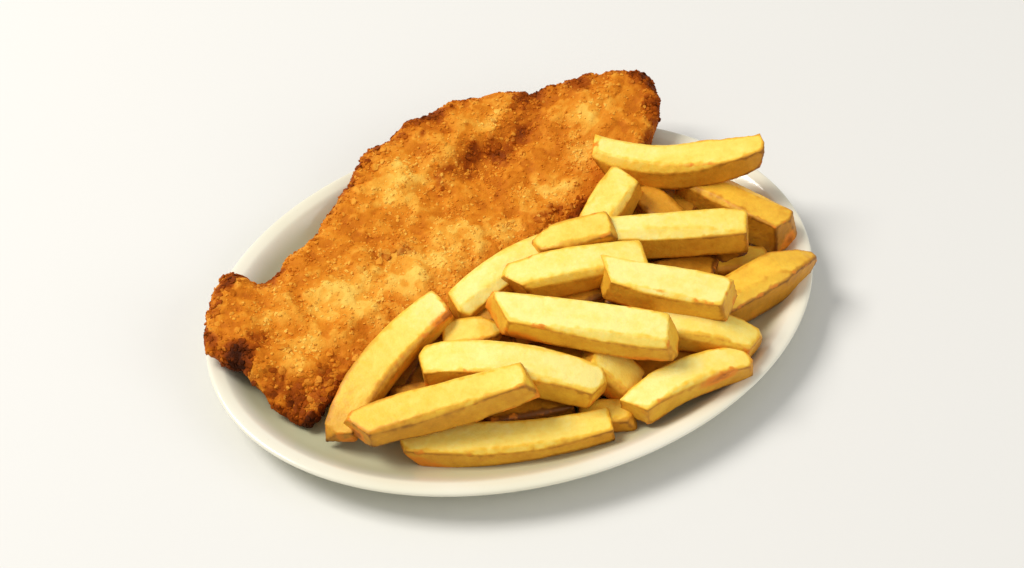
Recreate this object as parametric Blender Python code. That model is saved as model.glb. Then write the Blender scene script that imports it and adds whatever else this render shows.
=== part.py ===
# A crumbed chicken cutlet and a heap of chips on an oval plate.
# Modelled in millimetres round the middle of the plate, then set down in metres.
import math
import random

import bmesh
import bpy
import numpy as np
from mathutils import Matrix, Vector, noise

MM = 0.001

# Plate: half length, half width, and its section as (distance in from the edge, height)
PLATE_A = 143.0
PLATE_B = 107.25
PLATE_FLOOR = 6.0
PLATE_SEGMENTS = 88
PLATE_TOP = [(38.0, PLATE_FLOOR), (30.0, 6.3), (23.0, 7.4), (17.0, 9.8), (12.0, 13.2),
             (8.6, 16.0), (6.4, 17.3), (3.6, 18.0), (1.6, 18.0), (0.5, 17.6)]
PLATE_UNDER = [(0.0, 16.7), (0.4, 15.5), (4.0, 13.0), (9.0, 9.2), (15.0, 5.7), (22.0, 3.1),
               (29.6, 1.9), (30.2, 0.4), (30.8, 0.0), (34.6, 0.0), (35.2, 0.4), (36.2, 1.7)]

NOISE_SEED = 11

# Free space kept between the food and whatever it lies on
CLEARANCE = 0.4

# Cutlet: its own axes on the plate, and its two long edges as (along, across)
CUTLET_CENTRE = (-10.0, 35.0)
CUTLET_HEADING = math.radians(19)
CUTLET_FAR = [(-126, 24), (-121, 39), (-106, 52), (-92, 57), (-84, 48), (-57, 50), (-20, 63),
              (0, 72), (18, 74), (46, 69), (61, 64), (87, 44), (104, 37), (118, 28), (130, 12)]
CUTLET_NEAR = [(-126, -2), (-122, -13), (-116, -28), (-95, -29), (-42, -30), (20, -33),
               (63, -32), (109, -16), (121, -8), (130, 4)]
CUTLET_THICK = 15.0
CUTLET_WIDEST = 5.0
CUTLET_STATIONS = 62
CUTLET_AROUND = 34
CUTLET_CURL = 6.0

# Swells and hollows of the cutlet: (along, across, half length, half width, turn, height)
CUTLET_FORMS = [(15, 50, 75, 14, 4, 2.4), (38, 29, 34, 9, 14, -4.2), (-15, 0, 45, 22, 0, 1.4),
                (-66, 14, 26, 20, 0, 1.6), (92, 16, 26, 18, -20, 2.0), (-98, 20, 10, 26, 0, -1.4)]

# Chips: (start, end, width, height, arch, sweep, scale at the start, scale at the end)
TOP_CHIPS = [
    ((65, 51, 33), (130, 13, 43), 15, 12, -5, -5, 0.82, 0.82),
    ((42, 10, 28), (70, 29, 35), 16, 12, 0, 0, 0.82, 0.82),
    ((11, 3, 38), (46, -5, 40), 13, 12, 0, 0, 0.45, 0.80),
    ((37, 0, 36), (106, -23, 35), 15, 14, 0, 0, 0.82, 0.82),
    ((-31, -6, 27), (39, -1, 35), 17, 12, 5, 4, 0.82, 0.82),
    ((-5, -7, 34), (54, -21, 36), 17, 12, 2, 0, 0.70, 0.90),
    ((31, -25, 40), (77, -60, 38), 18, 13, -1, 0, 0.82, 0.82),
    ((-20, -25, 38), (46, -71, 38), 19, 13, 0, 0, 0.82, 0.82),
]
MIDDLE_CHIPS = [
    ((-43, -18, 23), (-18, -27, 27), 14, 9, 0, 0, 0.80, 0.30),
    ((-59, -32, 27), (9, -72, 26), 18, 12, 4, 3, 0.82, 0.82),
    ((-96, -50, 23), (-19, -64, 37), 16, 13, 0, 0, 0.82, 0.82),
    ((-36, -5, 29), (-103, -45, 15), 17, 11, 4, -4, 0.90, 0.70),
    ((70, -51, 18), (132, -44, 24), 22, 15, 0, 0, 1.00, 0.20),
    ((98, 26, 25), (127, -24, 24), 19, 13, 0, 0, 0.82, 0.82),
    ((40, -52, 27), (82, -77, 21), 16, 12, 3, 2, 0.82, 0.82),
    ((7, -52, 30), (28, -78, 21), 17, 12, 0, 0, 0.82, 0.82),
    ((9, -22, 25), (44, -21, 26), 16, 12, 0, 0, 0.82, 0.82),
    ((32, -22, 24), (60, -56, 24), 17, 13, 0, 0, 0.82, 0.82),
    ((-2, -32, 25), (39, -48, 25), 17, 13, 0, 0, 0.82, 0.82),
    ((45, 4, 22), (89, -10, 22), 17, 13, 0, 0, 0.82, 0.82),
    ((55, -23, 22), (90, -28, 18), 16, 12, 0, 0, 0.82, 0.82),
    ((22, 0, 22), (57, -12, 22), 16, 12, 0, 0, 0.82, 0.82),
    ((-31, -15, 20), (-4, -16, 24), 15, 12, 0, 0, 0.82, 0.82),
]
BOTTOM_CHIPS = [
    ((-75, -54, 13), (8, -80, 14), 19, 10, -1, -5, 0.60, 0.75),
    ((17, -83, 20), (73, -85, 22), 17, 12, 3, 5, 0.80, 0.70),
    ((-20, -62, 12), (20, -83, 12), 13, 10, 0, 0, 0.82, 0.82),
    ((76, 30, 22), (91, -16, 17), 15, 12, 0, 0, 0.82, 0.82),
    ((71, -13, 16), (115, -26, 16), 14, 12, 0, 0, 0.82, 0.82),
    ((-76, -38, 16), (-43, -49, 16), 16, 12, 0, 0, 0.82, 0.82),
    ((-43, -60, 15), (-1, -67, 15), 16, 12, 0, 0, 0.82, 0.82),
    ((-50, -15, 16), (-13, -34, 16), 16, 12, 0, 0, 0.82, 0.82),
    ((-15, -40, 19), (18, -62, 21), 16, 12, 0, 0, 0.82, 0.82),
    ((21, -64, 15), (63, -66, 15), 16, 12, 0, 0, 0.82, 0.82),
    ((69, 27, 15), (82, 8, 15), 16, 12, 0, 0, 0.82, 0.82),
    ((-26, -42, 15), (6, -57, 15), 16, 12, 0, 0, 0.82, 0.82),
    ((38, -51, 14), (81, -56, 14), 16, 12, 0, 0, 0.82, 0.82),
    ((92, 6, 18), (100, -29, 16), 16, 12, 0, 0, 0.82, 0.82),
    ((-8, -2, 18), (23, 1, 20), 16, 12, 0, 0, 0.82, 0.82),
    ((-60, -44, 15), (-18, -47, 15), 15, 12, 0, 0, 0.82, 0.82),
    ((4, -39, 14), (45, -47, 14), 16, 12, 0, 0, 0.82, 0.82),
]
CHIP_STATIONS = (0.0, 0.1, 0.35, 0.65, 0.9, 1.0)
CHIP_SECTION = [(-1.0, -0.7), (-0.75, -1.0), (0.75, -1.0), (1.0, -0.7),
                (1.0, 0.7), (0.75, 1.0), (-0.75, 1.0), (-1.0, 0.7)]
CHIP_TAPER_RUN = 0.35
CHIP_END_SLANT = 0.22

# Low middle of the heap, which joins the chips: centre, half sizes and turn
CORE_CENTRE = (18, -34, 13)
CORE_HALF = (72, 36, 9)
CORE_TURN = math.radians(-14)

CERAMIC = ("glazed_ceramic", (0.90, 0.88, 0.80, 1.0), 0.16)
CRUST = ("crumb_crust", (0.72, 0.34, 0.07, 1.0), 0.72)
POTATO = ("fried_potato", (0.93, 0.68, 0.20, 1.0), 0.55)


def clear_scene():
    for item in list(bpy.data.objects):
        bpy.data.objects.remove(item, do_unlink=True)


def add_object(name, bm, finish=None):
    """Make an object from the bmesh, which is in millimetres, and give it its material."""
    if bm.calc_volume(signed=True) < 0.0:
        bmesh.ops.reverse_faces(bm, faces=bm.faces)
    mesh = bpy.data.meshes.new(name)
    bm.to_mesh(mesh)
    bm.free()
    item = bpy.data.objects.new(name, mesh)
    bpy.context.scene.collection.objects.link(item)
    if finish:
        mesh.materials.append(make_material(*finish))
    return item


def make_material(name, colour, roughness):
    material = bpy.data.materials.new(name)
    material.use_nodes = True
    shader = material.node_tree.nodes["Principled BSDF"]
    shader.inputs["Base Color"].default_value = colour
    shader.inputs["Roughness"].default_value = roughness
    shader.inputs["Metallic"].default_value = 0.0
    return material


def loft(bm, rings):
    """Skin closed rings of equal length and cap both ends."""
    made = [[bm.verts.new(point) for point in ring] for ring in rings]
    for one, two in zip(made, made[1:]):
        for k in range(len(one)):
            after = (k + 1) % len(one)
            bm.faces.new((one[k], one[after], two[after], two[k]))
    bm.faces.new(reversed(made[0]))
    bm.faces.new(made[-1])


def line_value(points, at):
    return float(np.interp(at, [p[0] for p in points], [p[1] for p in points]))


def smooth_step(low, high, value):
    share = min(max((value - low) / (high - low), 0.0), 1.0)
    return share * share * (3.0 - 2.0 * share)


# Plate

def oval_ring(inset, height):
    turns = [2.0 * math.pi * k / PLATE_SEGMENTS for k in range(PLATE_SEGMENTS)]
    return [((PLATE_A - inset) * math.cos(a), (PLATE_B - inset) * math.sin(a), height)
            for a in turns]


def make_plate():
    bm = bmesh.new()
    loft(bm, [oval_ring(*step) for step in PLATE_TOP + PLATE_UNDER])
    return add_object("plate", bm, CERAMIC)


def plate_inset(x, y):
    """How far a place is in from the plate's edge, found by halving."""
    low, high = -60.0, PLATE_B - 1.0
    for _ in range(30):
        inset = (low + high) / 2.0
        if math.hypot(x / (PLATE_A - inset), y / (PLATE_B - inset)) > 1.0:
            high = inset
        else:
            low = inset
    return low


def plate_height(x, y):
    """Height of the plate's upper side, or nothing outside its edge."""
    inset = plate_inset(x, y)
    return line_value(PLATE_TOP[::-1], inset) if inset >= -1.0 else 0.0


# Cutlet

def underside(x, y):
    """The cutlet lies on the floor, bridges the wall and hangs over the rim."""
    reach = math.hypot(x / PLATE_A, y / PLATE_B)
    drape = PLATE_FLOOR + CLEARANCE + 11.3 * max(0.0, (reach - 0.5) / 0.45) ** 1.4
    return max(drape, plate_height(x, y) + CLEARANCE)


def cutlet_forms(along, across):
    total = 0.0
    for s, t, half_length, half_width, turn, height in CUTLET_FORMS:
        angle = math.radians(turn)
        ds, dt = along - s, across - t
        u = (ds * math.cos(angle) + dt * math.sin(angle)) / half_length
        v = (dt * math.cos(angle) - ds * math.sin(angle)) / half_width
        total += height * math.exp(-u * u - v * v)
    return total


def cutlet_point(along, turn):
    """A point of the skin, turn going round the section from the near edge over the top."""
    near = line_value(CUTLET_NEAR, along)
    far = line_value(CUTLET_FAR, along)
    side = -math.copysign(abs(math.cos(turn)) ** 0.8, math.cos(turn))
    rise = math.copysign(abs(math.sin(turn)) ** 0.7, math.sin(turn))
    across = (near + far) / 2.0 + (far - near) / 2.0 * side
    x = CUTLET_CENTRE[0] + along * math.cos(CUTLET_HEADING) - across * math.sin(CUTLET_HEADING)
    y = CUTLET_CENTRE[1] + along * math.sin(CUTLET_HEADING) + across * math.cos(CUTLET_HEADING)
    start, end = CUTLET_FAR[0][0], CUTLET_FAR[-1][0]
    end_share = abs(2.0 * (along - start) / (end - start) - 1.0)
    body = max(0.1, 1.0 - end_share ** 14) ** 0.5
    if rise > 0.0:
        lift = (CUTLET_THICK - CUTLET_WIDEST + cutlet_forms(along, across)) * rise * body
    else:
        lift = CUTLET_WIDEST * rise * body
    curl = CUTLET_CURL * smooth_step(35.0, 130.0, along)
    return Vector((x, y, underside(x, y) + CUTLET_WIDEST + lift + curl))


def crag(point, rise):
    """Crumb lumps: broad swells, then smaller crags that are strongest on the top and edges."""
    swell = noise.noise_vector(point / 30.0) * 1.6
    lump = noise.noise_vector(point / 13.0 + Vector((7.0, 3.0, 1.0))) * 2.2
    return (swell + lump) * (1.0 if rise > -0.2 else 0.4)


def make_cutlet():
    bm = bmesh.new()
    start, end = CUTLET_FAR[0][0], CUTLET_FAR[-1][0]
    rings = []
    for i in range(CUTLET_STATIONS):
        share = -1.0 + 2.0 * i / (CUTLET_STATIONS - 1)
        eased = 0.75 * share + 0.25 * math.sin(share * math.pi / 2.0)
        along = (start + end) / 2.0 + (end - start) / 2.0 * eased
        ring = []
        for k in range(CUTLET_AROUND):
            turn = 2.0 * math.pi * k / CUTLET_AROUND
            point = cutlet_point(along, turn)
            point += crag(point, math.sin(turn))
            point.z = max(point.z, plate_height(point.x, point.y) + CLEARANCE)
            ring.append(point)
        rings.append(ring)
    loft(bm, rings)
    return add_object("cutlet", bm, CRUST)


# Chips

def make_chip(number, chip, rng):
    start, end, width, height, arch, sweep, start_scale, end_scale = chip
    start, end = Vector(start), Vector(end)
    length = (end - start).length
    forward = (end - start) / length
    side = Vector((0.0, 0.0, 1.0)).cross(forward).normalized()
    up = forward.cross(side)
    slants = [(rng.uniform(-1, 1) * CHIP_END_SLANT, rng.uniform(-1, 1) * CHIP_END_SLANT)
              for _ in range(2)]
    rings = []
    for share in CHIP_STATIONS:
        bulge = 1.0 - (2.0 * share - 1.0) ** 2
        slope = -4.0 * (2.0 * share - 1.0) / length
        middle = start + forward * (length * share) + (up * arch + side * sweep) * bulge
        ring_side = (side - forward * (slope * sweep)).normalized()
        ring_up = (up - forward * (slope * arch)).normalized()
        scale = (chip_scale(share, start_scale) * chip_scale(1.0 - share, end_scale))
        slant = slants[0] if share < 0.5 else slants[1]
        slanted = max(0.0, 1.0 - min(share, 1.0 - share) / 0.12)
        ring = []
        for across, rise in CHIP_SECTION:
            w = across * width / 2.0 * scale
            h = rise * height / 2.0 * scale
            lean = (w * slant[0] + h * slant[1]) * slanted
            ring.append(middle + ring_side * w + ring_up * h + forward * lean)
        rings.append(ring)
    bm = bmesh.new()
    loft(bm, rings)
    return add_object("chip_%02d" % number, bm)


def chip_scale(share, end_scale):
    run = min(share / CHIP_TAPER_RUN, 1.0)
    return end_scale + (1.0 - end_scale) * run ** 0.7


def make_core():
    bm = bmesh.new()
    shape = (Matrix.Translation(CORE_CENTRE) @ Matrix.Rotation(CORE_TURN, 4, "Z")
             @ Matrix.Diagonal((*CORE_HALF, 1.0)))
    bmesh.ops.create_icosphere(bm, subdivisions=3, radius=1.0, matrix=shape)
    for vert in bm.verts:
        vert.co.z = max(vert.co.z, plate_height(vert.co.x, vert.co.y) + CLEARANCE)
    return add_object("fries", bm, POTATO)


def swollen_copy(source):
    """A copy whose skin stands off by the clearance, to cut with."""
    copy = source.copy()
    copy.data = source.data.copy()
    bpy.context.scene.collection.objects.link(copy)
    offsets = [v.normal * CLEARANCE for v in copy.data.vertices]
    for vert, offset in zip(copy.data.vertices, offsets):
        vert.co += offset
    return copy


def boolean_with(item, tools, operation):
    """Join or cut with every tool at once, apply it, and remove the tools."""
    group = bpy.data.collections.new("tools")
    bpy.context.scene.collection.children.link(group)
    for tool in tools:
        group.objects.link(tool)
    modifier = item.modifiers.new("join", "BOOLEAN")
    modifier.operation = operation
    modifier.operand_type = "COLLECTION"
    modifier.collection = group
    modifier.solver = "EXACT"
    depsgraph = bpy.context.evaluated_depsgraph_get()
    result = bpy.data.meshes.new_from_object(item.evaluated_get(depsgraph))
    item.modifiers.clear()
    item.data = result
    for tool in tools:
        bpy.data.objects.remove(tool, do_unlink=True)
    bpy.data.collections.remove(group)


def keep_outer_shell(item):
    """Drop loose scraps and fill sealed hollows: only the largest shell stays."""
    bm = bmesh.new()
    bm.from_mesh(item.data)
    bmesh.ops.triangulate(bm, faces=bm.faces)
    bm.faces.ensure_lookup_table()
    left = set(bm.faces)
    shells = []
    while left:
        shell, front = set(), [next(f for f in bm.faces if f in left)]
        while front:
            face = front.pop()
            if face not in left:
                continue
            left.discard(face)
            shell.add(face)
            front += [other for edge in face.edges for other in edge.link_faces]
        shells.append(shell)
    largest = max(shells, key=lambda shell: sum(face.calc_area() for face in shell))
    for shell in shells:
        if shell is not largest:
            bmesh.ops.delete(bm, geom=list(shell), context="FACES")
    bm.to_mesh(item.data)
    bm.free()
    print(item.name, "shells", len(shells), "triangles", len(item.data.polygons))


def make_fries(plate, cutlet):
    rng = random.Random(5)
    chips = TOP_CHIPS + MIDDLE_CHIPS + BOTTOM_CHIPS
    heap = make_core()
    boolean_with(heap, [make_chip(n, chip, rng) for n, chip in enumerate(chips)], "UNION")
    boolean_with(heap, [swollen_copy(plate), swollen_copy(cutlet)], "DIFFERENCE")
    keep_outer_shell(heap)
    return heap


def set_down(items):
    """Scale to metres and put the middle of the whole footprint at the origin, base at zero."""
    corners = [v.co for item in items for v in item.data.vertices]
    low = Vector([min(c[i] for c in corners) for i in range(3)])
    high = Vector([max(c[i] for c in corners) for i in range(3)])
    base = Vector(((low.x + high.x) / 2.0, (low.y + high.y) / 2.0, low.z))
    place = Matrix.Scale(MM, 4) @ Matrix.Translation(-base)
    for item in items:
        item.data.transform(place)
        item.data.update()
    print("plate middle in mm", -base.x, -base.y, "size", high - low)


clear_scene()
noise.seed_set(NOISE_SEED)
plate = make_plate()
cutlet = make_cutlet()
fries = make_fries(plate, cutlet)
set_down([plate, cutlet, fries])
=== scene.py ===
import math
import random

import bpy
import numpy as np
from mathutils import Matrix, Vector, noise


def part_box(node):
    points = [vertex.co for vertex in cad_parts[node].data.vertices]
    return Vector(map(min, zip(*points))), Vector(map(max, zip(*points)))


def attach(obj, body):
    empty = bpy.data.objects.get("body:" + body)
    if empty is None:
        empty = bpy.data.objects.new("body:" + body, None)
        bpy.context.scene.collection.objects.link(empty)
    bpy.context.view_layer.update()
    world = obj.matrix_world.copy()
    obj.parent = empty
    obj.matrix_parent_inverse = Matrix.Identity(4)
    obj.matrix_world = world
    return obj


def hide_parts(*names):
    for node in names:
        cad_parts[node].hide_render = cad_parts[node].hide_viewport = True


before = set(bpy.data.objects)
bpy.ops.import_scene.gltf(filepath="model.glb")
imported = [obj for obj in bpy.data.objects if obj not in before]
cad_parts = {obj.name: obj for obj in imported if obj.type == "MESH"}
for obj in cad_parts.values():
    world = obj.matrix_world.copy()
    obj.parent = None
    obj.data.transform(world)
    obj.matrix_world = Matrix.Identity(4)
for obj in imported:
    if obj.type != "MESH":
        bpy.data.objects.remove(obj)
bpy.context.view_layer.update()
noise.seed_set(4)

mm = 0.001  # shapes and the camera's place are in millimetres, finishes and lights in metres
plateLow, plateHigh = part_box("plate")
plateMiddle = Vector(((plateLow.x + plateHigh.x) / 2, (plateLow.y + plateHigh.y) / 2, plateLow.z))


# Small helpers

def tint(code):
    # hex colour to the linear values that a shader wants
    parts = [int(code[k:k + 2], 16) / 255 for k in (1, 3, 5)]
    return [c / 12.92 if c <= 0.04045 else ((c + 0.055) / 1.055) ** 2.4 for c in parts] + [1.0]


def deselectAll():
    bpy.ops.object.select_all(action="DESELECT")


def pick(item):
    deselectAll()
    item.select_set(True)
    bpy.context.view_layer.objects.active = item


def startEdit(item):
    pick(item)
    bpy.ops.object.mode_set(mode="EDIT")
    bpy.ops.mesh.select_mode(type="VERT")
    bpy.ops.mesh.select_all(action="SELECT")


def endEdit():
    bpy.ops.object.mode_set(mode="OBJECT")


def finishWith(item, kind, **settings):
    # one modifier, set up and applied
    pick(item)
    modifier = item.modifiers.new(kind.lower(), kind)
    for name, value in settings.items():
        setattr(modifier, name, value)
    bpy.ops.object.modifier_apply(modifier=modifier.name)


def roughen(item, relief):
    # displace along the normals: texture, grain, height, the level that stays, detail
    for kind, grain, height, level, detail in relief:
        texture = bpy.data.textures.new(kind.lower(), kind)
        texture.noise_scale = grain * mm
        if kind == "CLOUDS":
            texture.noise_depth = detail
        finishWith(item, "DISPLACE", texture=texture, strength=height * mm, mid_level=level,
                   texture_coords="LOCAL")


def readAll(rows, name, width=3):
    # one property of all corners or faces
    values = np.zeros(len(rows) * width)
    rows.foreach_get(name, values)
    return values.reshape(-1, width)


def corners(item):
    return readAll(item.data.vertices, "co")


def facings(item):
    return readAll(item.data.vertices, "normal")


def setCorners(item, co):
    item.data.vertices.foreach_set("co", co.ravel())
    item.data.update()


def paintValues(item, name, values):
    layer = item.data.attributes.new(name, "FLOAT", "POINT")
    layer.data.foreach_set("value", np.asarray(values, dtype=np.float32))


def neighbourMean(item):
    # gives a function that averages values over the neighbours of each corner
    edges = np.zeros(len(item.data.edges) * 2, dtype=int)
    item.data.edges.foreach_get("vertices", edges)
    starts, ends = edges[0::2], edges[1::2]
    total = len(item.data.vertices)
    count = np.maximum(np.bincount(edges, minlength=total), 1)

    def mean(values):
        return (np.bincount(starts, values[ends], total)
                + np.bincount(ends, values[starts], total)) / count

    return mean


def standOut(item, reach, steps=1, spread=0):
    # how far each corner stands out from its surroundings: 0 in a dip, 0.5 level, 1 on a crest
    co, mean = corners(item), neighbourMean(item)
    smooth = co.copy()
    for step in range(steps):
        for k in range(3):
            smooth[:, k] = mean(smooth[:, k])
    shares = np.clip(0.5 + ((co - smooth) * facings(item)).sum(1) / (2 * reach * mm), 0, 1)
    for step in range(spread):
        shares = (shares + mean(shares)) / 2
    return shares


def wander(places, grain, shift=(0, 0, 0)):
    # slow noise at each place
    return np.array([noise.noise(Vector(place) / (grain * mm) + Vector(shift))
                     for place in places])


def bell(along, across, s, t, length, width):
    # 1 in the middle of an oval, fading outwards
    return np.exp(-(((along - s) / length) ** 2 + ((across - t) / width) ** 2))


def fade(values, start, run):
    # 0 up to the start, 1 once past the run
    return np.clip((values - start) / run, 0, 1)


def own(item, name):
    # settle a finished piece: place in its mesh, rides with the plate
    pick(item)
    bpy.ops.object.transform_apply(location=True, rotation=True, scale=True)
    item.name = name
    item.data.name = name
    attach(item, "root")


# Shader maths

class Wire:
    # a shader output that takes part in sums

    def __init__(self, tree, socket):
        self.tree = tree
        self.socket = socket

    def maths(self, operation, *others, clamp=False):
        step = self.tree.nodes.new("ShaderNodeMath")
        step.operation = operation
        step.use_clamp = clamp
        for slot, value in zip(step.inputs, others):
            plug(self.tree, value, slot)
        return Wire(self.tree, step.outputs[0])

    def __add__(self, other):
        return self.maths("ADD", self, other)

    def __radd__(self, other):
        return self.maths("ADD", other, self)

    def __sub__(self, other):
        return self.maths("SUBTRACT", self, other)

    def __rsub__(self, other):
        return self.maths("SUBTRACT", other, self)

    def __mul__(self, other):
        return self.maths("MULTIPLY", self, other)

    def __rmul__(self, other):
        return self.maths("MULTIPLY", other, self)

    def held(self):
        # kept between 0 and 1
        return self.maths("ADD", self, 0.0, clamp=True)

    def ramp(self, low, high):
        # 0 at low, 1 at high, eased
        step = self.tree.nodes.new("ShaderNodeMapRange")
        step.interpolation_type = "SMOOTHSTEP"
        for slot, value in zip(step.inputs, (self, low, high, 0.0, 1.0)):
            plug(self.tree, value, slot)
        return Wire(self.tree, step.outputs[0])


def plug(tree, value, slot):
    if isinstance(value, Wire):
        tree.links.new(value.socket, slot)
    else:
        slot.default_value = value


class Finish:
    # a material that is being put together

    def __init__(self, name, **fixed):
        self.material = bpy.data.materials.new(name)
        self.material.use_nodes = True
        self.tree = self.material.node_tree
        self.shader = self.tree.nodes["Principled BSDF"]
        for slot, value in fixed.items():
            self.shader.inputs[slot.replace("_", " ")].default_value = value

    def node(self, kind, settings=None, values=None, output=0):
        step = self.tree.nodes.new("ShaderNode" + kind)
        for name, value in (settings or {}).items():
            if name == "stops":
                colours = step.color_ramp.elements
                for spare in list(colours)[1:]:
                    colours.remove(spare)
                colours[0].position = value[0][0]
                colours[0].color = tint(value[0][1])
                for place, code in value[1:]:
                    colours.new(place).color = tint(code)
            else:
                setattr(step, name, value)
        for name, value in (values or {}).items():
            plug(self.tree, value, step.inputs[name])
        return Wire(self.tree, step.outputs[output])

    def place(self):
        return self.node("TexCoord", output="Object")

    def value(self, name):
        return self.node("Attribute", {"attribute_name": name}, output="Fac")

    def grain(self, size, detail, roughness=0.5):
        # noise of the given grain in metres
        return self.node("TexNoise", values={"Vector": self.place(), "Scale": 1 / size,
                                             "Detail": detail, "Roughness": roughness})

    def colours(self, stops, share):
        return self.node("ValToRGB", {"stops": stops}, {"Fac": share.held()})

    def blend(self, share, one, two):
        return self.node("Mix", {"data_type": "RGBA"}, {0: share, 6: one, 7: two}, output=2)

    def bump(self, height, distance, strength):
        normal = self.node("Bump", values={"Height": height, "Distance": distance,
                                           "Strength": strength})
        plug(self.tree, normal, self.shader.inputs["Normal"])

    def paint(self, slot, value):
        plug(self.tree, value, self.shader.inputs[slot])


# Finishes

glazeLook = {
    "shades": ("#ECE7CF", "#F2EDDA"),
    "wellShade": "#CAC8A4",
    "wellShadeHeight": (0.0105, 0.0172),  # painted shade: the well is darker and greener, fading out up to the lip
    "speck": "#C9BC94",
    "foot": "#D8CDB2",
    "footHeight": (0.0003, 0.0007),  # the bare ring that it stands on
}


def glazeFinish():
    look = glazeLook
    darker, lighter = look["shades"]
    finish = Finish("glaze", Roughness=0.2, Coat_Weight=0.35, Coat_Roughness=0.08)
    drift = finish.grain(0.06, 3.0)
    speck = finish.grain(0.0011, 1.0)
    height = finish.node("SeparateXYZ", values={"Vector": finish.place()}, output="Z")
    above = height - plateLow.z
    # painted shade in the well, gone by the lip
    wellShade = 1 - above.ramp(*look["wellShadeHeight"])
    foot = 1 - above.ramp(*look["footHeight"])
    shade = finish.blend(drift.ramp(0.35, 0.7), tint(darker), tint(lighter))
    shade = finish.blend(wellShade, shade, tint(look["wellShade"]))
    shade = finish.blend(speck.ramp(0.74, 0.8) * 0.25, shade, tint(look["speck"]))
    finish.paint("Base Color", finish.blend(foot, shade, tint(look["foot"])))
    finish.paint("Roughness", 0.14 + drift * 0.12 + foot * 0.5)
    finish.bump(finish.grain(0.012, 2.0), 0.0002, 0.25)
    return finish.material


crustLook = {
    # by share: deep orange to pale gold, and golden brown to burnt, the darker end serving also
    # as painted shade
    "base": [(0.0, "#B35B12"), (0.22, "#CB7215"), (0.42, "#DE861F"), (0.68, "#EFA83A"),
             (1.0, "#F8CA5C")],
    "roast": [(0.0, "#C86E12"), (0.35, "#B35708"), (0.6, "#8F3F04"), (0.82, "#632802"),
              (1.0, "#3A1501")],
}


def crustFinish():
    finish = Finish("crumbCrust", Roughness=0.6, Specular_IOR_Level=0.07)
    gold, brown, crest, lump = (finish.value(name) for name in ("gold", "brown", "crest", "lump"))
    patch = finish.grain(0.018, 3.0, 0.5)
    blotch = finish.grain(0.0075, 1.0, 0.4)
    crumb = finish.grain(0.003, 3.0, 0.6)
    dust = finish.grain(0.0009, 2.0, 0.6)
    # painted light and shade: crests and lumps lighter, dips and hollows darker
    tone = (gold * 0.62 + patch * 0.25 + blotch.ramp(0.46, 0.56) * 0.2 + (lump - 0.5) * 0.4
            + (crest - 0.5) * 0.16 + (crumb - 0.5) * 0.12 + (dust - 0.5) * 0.06 + 0.06)
    burntAndShade = (brown * 1.1 + (blotch - 0.5) * 0.7 + (crumb - 0.5) * 0.25 + (dust - 0.5) * 0.1
             - (crest - 0.5) * 0.2 - (lump - 0.5) * 0.2)
    base = finish.colours(crustLook["base"], tone)
    roast = finish.colours(crustLook["roast"], burntAndShade)
    finish.paint("Base Color", finish.blend(burntAndShade.ramp(0.15, 0.5), base, roast))
    finish.paint("Roughness", (0.45 + crumb * 0.25).held())
    finish.bump(crumb * 0.4 + dust * 0.6, 0.0012, 0.5)
    return finish.material


potatoLook = {
    # by share: fried dark to pale
    "base": [(0.0, "#784608"), (0.2, "#B57714"), (0.42, "#DE9C26"), (0.65, "#F9C63C"),
             (0.85, "#FFE068"), (1.0, "#FFEE90")],
    "toast": ("#ED8D1E", "#B4620E"),  # of the edges and streaks, lighter to darker
}


def potatoFinish():
    finish = Finish("friedPotato", Roughness=0.5, Subsurface_Weight=0.08,
                    Subsurface_Scale=0.003, Coat_Weight=0.06, Coat_Roughness=0.35,
                    Specular_IOR_Level=0.3)
    pale, brown, crest = (finish.value(name) for name in ("pale", "brown", "crest"))
    mottle = finish.grain(0.0075, 3.0, 0.55)
    blister = finish.grain(0.0022, 2.0, 0.55)
    fine = finish.grain(0.0007, 3.0, 0.6)
    rim = crest.ramp(0.54, 0.74)
    base = finish.colours(potatoLook["base"], pale - rim * (0.1 + mottle * 0.35)
                          + (mottle - 0.5) * 0.3 + (blister - 0.5) * 0.14 + (fine - 0.5) * 0.08)
    # browning, with the painted shade low on the flanks
    friedAndShade = (brown + rim * mottle.ramp(0.42, 0.7) * 0.45 + (mottle - 0.5) * 0.4
             + (blister - 0.5) * 0.3 + (fine - 0.5) * 0.15)
    lightToast, darkToast = potatoLook["toast"]
    toast = finish.blend(friedAndShade.ramp(0.6, 1.05), tint(lightToast), tint(darkToast))
    finish.paint("Base Color", finish.blend(friedAndShade.ramp(0.22, 0.65), base, toast))
    finish.paint("Roughness", (0.38 + blister * 0.25).held())
    finish.bump(blister * 0.65 + fine * 0.35, 0.0007, 0.6)
    return finish.material


# Plate

plateShape = {
    "segments": 96,
    "halfLength": (plateHigh.x - plateLow.x) / 2 / mm,
    "halfWidth": (plateHigh.y - plateLow.y) / 2 / mm,
    # distance in from the edge and height, from the floor over the lip to the foot
    "section": [(40.0, 6.0), (38.0, 6.0), (30.0, 6.3), (23.0, 7.4), (17.0, 9.8), (12.0, 13.2),
                (8.6, 16.0), (6.8, 17.2), (5.6, 17.5), (3.6, 17.9), (1.6, 18.0), (0.4, 17.5),
                (0.0, 16.6), (0.5, 15.5), (4.0, 13.0), (9.0, 9.2), (15.0, 5.7), (22.0, 3.1),
                (29.4, 2.0), (30.1, 0.6), (30.8, 0.0), (34.6, 0.0), (35.3, 0.6), (36.2, 1.7),
                (38.0, 1.8)],
    "subdivisions": 2,
}


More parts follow.
